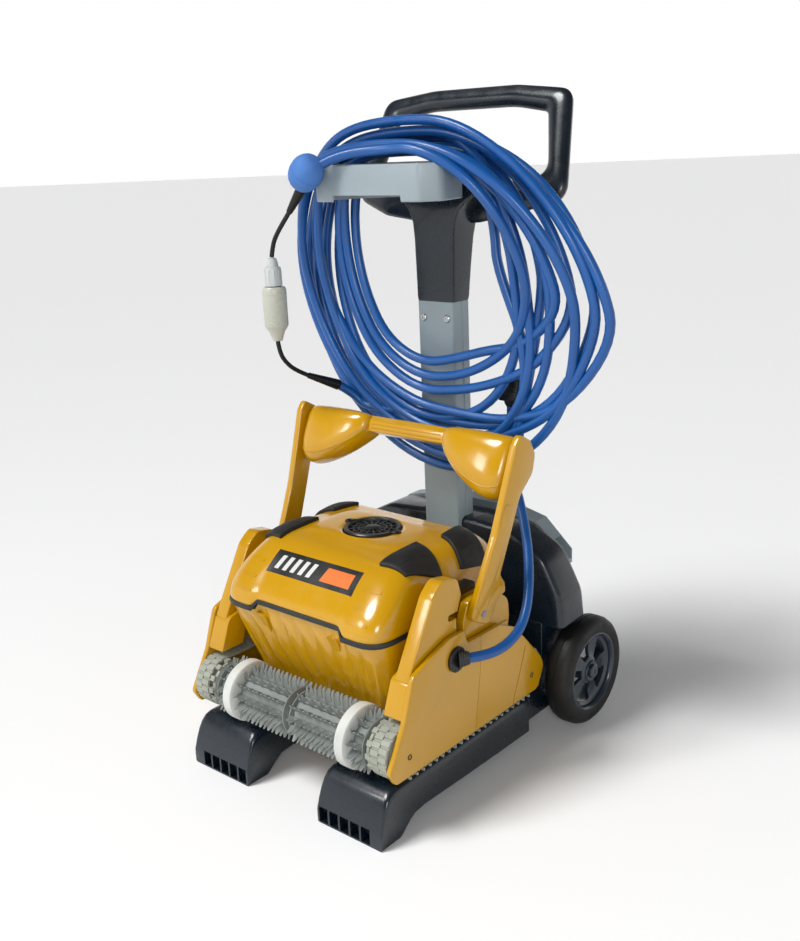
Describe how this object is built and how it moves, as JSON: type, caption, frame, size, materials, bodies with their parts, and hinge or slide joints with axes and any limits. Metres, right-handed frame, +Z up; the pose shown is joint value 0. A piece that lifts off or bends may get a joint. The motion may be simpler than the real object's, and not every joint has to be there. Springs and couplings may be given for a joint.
{
  "type": "pool cleaner",
  "caption": "Tracked pool-cleaning robot with bladed brush rollers and a floating cable, parked on a two-wheel trolley whose hook carries the cable's coil.",
  "frame": {"origin": "on the floor at the middle of the trolley's length and width", "axes": "+X the machine's right-hand side, +Y from the trolley's toes to its wheels, +Z up"},
  "size_m": [0.6864, 0.636, 1.1284],
  "materials": {
    "yellow_shell": "glossy moulded golden yellow",
    "dark_shell": "glossy moulded blue-black",
    "grey_shell": "satin moulded light grey",
    "steel": "plain stainless steel",
    "cable_blue": "smooth foamed blue cable jacket",
    "float_blue": "matt blue foam",
    "cable_black": "black rubber",
    "swivel_white": "warm white plastic",
    "swivel_grey": "pale grey plastic",
    "seal_rubber": "matt black rubber",
    "grille_black": "black plastic",
    "motor_grey": "dark grey plastic",
    "basket_grey": "grey plastic frame",
    "tyre_rubber": "black tyre rubber",
    "track_rubber": "pale grey-green toothed belt",
    "brush_grey": "pale grey-green bladed brush",
    "ring_white": "white foam ring"
  },
  "bodies": {
    "trolley": {"fork_left": "dark_shell", "fork_right": "dark_shell", "base_arch": "dark_shell", "rear_channel": "grey_shell", "axle": "steel", "axle_caps": "dark_shell", "column": "grey_shell", "column_screws": "steel", "neck": "dark_shell", "trolley_handle": "dark_shell", "hook_tray": "grey_shell", "cable_coil": "cable_blue", "cable_lead": "cable_blue", "ball_float": "float_blue", "cable_sleeves": "cable_black", "tail_upper": "cable_black", "tail_lower": "cable_black", "swivel_body": "swivel_white", "plug": "cable_black"},
    "swivel": {"swivel_cap": "swivel_grey"},
    "robot": {"lower_hull": "yellow_shell", "lid_gasket": "seal_rubber", "side_panel_left": "yellow_shell", "side_panel_right": "yellow_shell", "panel_screws": "steel", "brush_axles": "steel", "centre_supports": "brush_grey", "track_left": "track_rubber", "track_right": "track_rubber", "motor_unit": "motor_grey", "drive_motors": "motor_grey", "pump_motor": "motor_grey", "filter_basket_left": "basket_grey", "filter_basket_right": "basket_grey", "handle_pins": "steel", "cable_gland": "seal_rubber", "lid_hinge_pin": "steel"},
    "lid": {"lid": "yellow_shell", "outlet_grille": "grille_black", "corner_pads": "seal_rubber"},
    "impeller": {"impeller": "grille_black"},
    "handle": {"handle_frame": "yellow_shell", "float_left": "yellow_shell", "float_right": "yellow_shell"},
    "wheel_left": {"rim_left": "dark_shell", "tyre_left": "tyre_rubber"},
    "roller_front_left": {"brush_front_left": "brush_grey", "brush_ring_front_left": "ring_white", "track_pulley_front_left": "brush_grey"},
    "roller_rear_left": {"brush_rear_left": "brush_grey", "brush_ring_rear_left": "ring_white", "track_pulley_rear_left": "brush_grey"},
    "wheel_right": {"rim_right": "dark_shell", "tyre_right": "tyre_rubber"},
    "roller_front_right": {"brush_front_right": "brush_grey", "brush_ring_front_right": "ring_white", "track_pulley_front_right": "brush_grey"},
    "roller_rear_right": {"brush_rear_right": "brush_grey", "brush_ring_rear_right": "ring_white", "track_pulley_rear_right": "brush_grey"}
  },
  "joints": [
    {"name": "robot_slide", "type": "slide", "parent": "trolley", "child": "robot", "axis": [0, -1, 0], "range_m": [0, 0.08], "deforming": ["cable_lead"]},
    {"name": "lid_hinge", "type": "hinge", "parent": "robot", "child": "lid", "pos_m": [0, 0.096, 0.303], "axis": [-1, 0, 0], "range_deg": [0, 26]},
    {"name": "handle_swing", "type": "hinge", "parent": "robot", "child": "handle", "pos_m": [0, -0.063, 0.307], "axis": [-1, 0, 0], "range_deg": [-44, 0]},
    {"name": "impeller_spin", "type": "hinge", "parent": "robot", "child": "impeller", "pos_m": [0, -0.063, 0.38], "axis": [0, 0, 1], "continuous": true},
    {"name": "drive_left", "type": "hinge", "parent": "robot", "child": "roller_front_left", "pos_m": [0, -0.257, 0.143], "axis": [1, 0, 0], "continuous": true},
    {"name": "rear_roller_left", "type": "hinge", "parent": "robot", "child": "roller_rear_left", "pos_m": [0, 0.076, 0.143], "axis": [1, 0, 0], "continuous": true},
    {"name": "drive_right", "type": "hinge", "parent": "robot", "child": "roller_front_right", "pos_m": [0, -0.257, 0.143], "axis": [1, 0, 0], "continuous": true},
    {"name": "rear_roller_right", "type": "hinge", "parent": "robot", "child": "roller_rear_right", "pos_m": [0, 0.076, 0.143], "axis": [1, 0, 0], "continuous": true},
    {"name": "wheel_left_spin", "type": "hinge", "parent": "trolley", "child": "wheel_left", "pos_m": [0, 0.217, 0.101], "axis": [1, 0, 0], "continuous": true},
    {"name": "wheel_right_spin", "type": "hinge", "parent": "trolley", "child": "wheel_right", "pos_m": [0, 0.217, 0.101], "axis": [1, 0, 0], "continuous": true},
    {"name": "swivel_spin", "type": "hinge", "parent": "trolley", "child": "swivel", "pos_m": [-0.219, -0.048, 0.83], "axis": [0, 0, 1], "continuous": true}
  ],
  "couplings": [
    {"joint": "rear_roller_left", "follows": "drive_left", "ratio": 1},
    {"joint": "rear_roller_right", "follows": "drive_right", "ratio": 1}
  ]
}
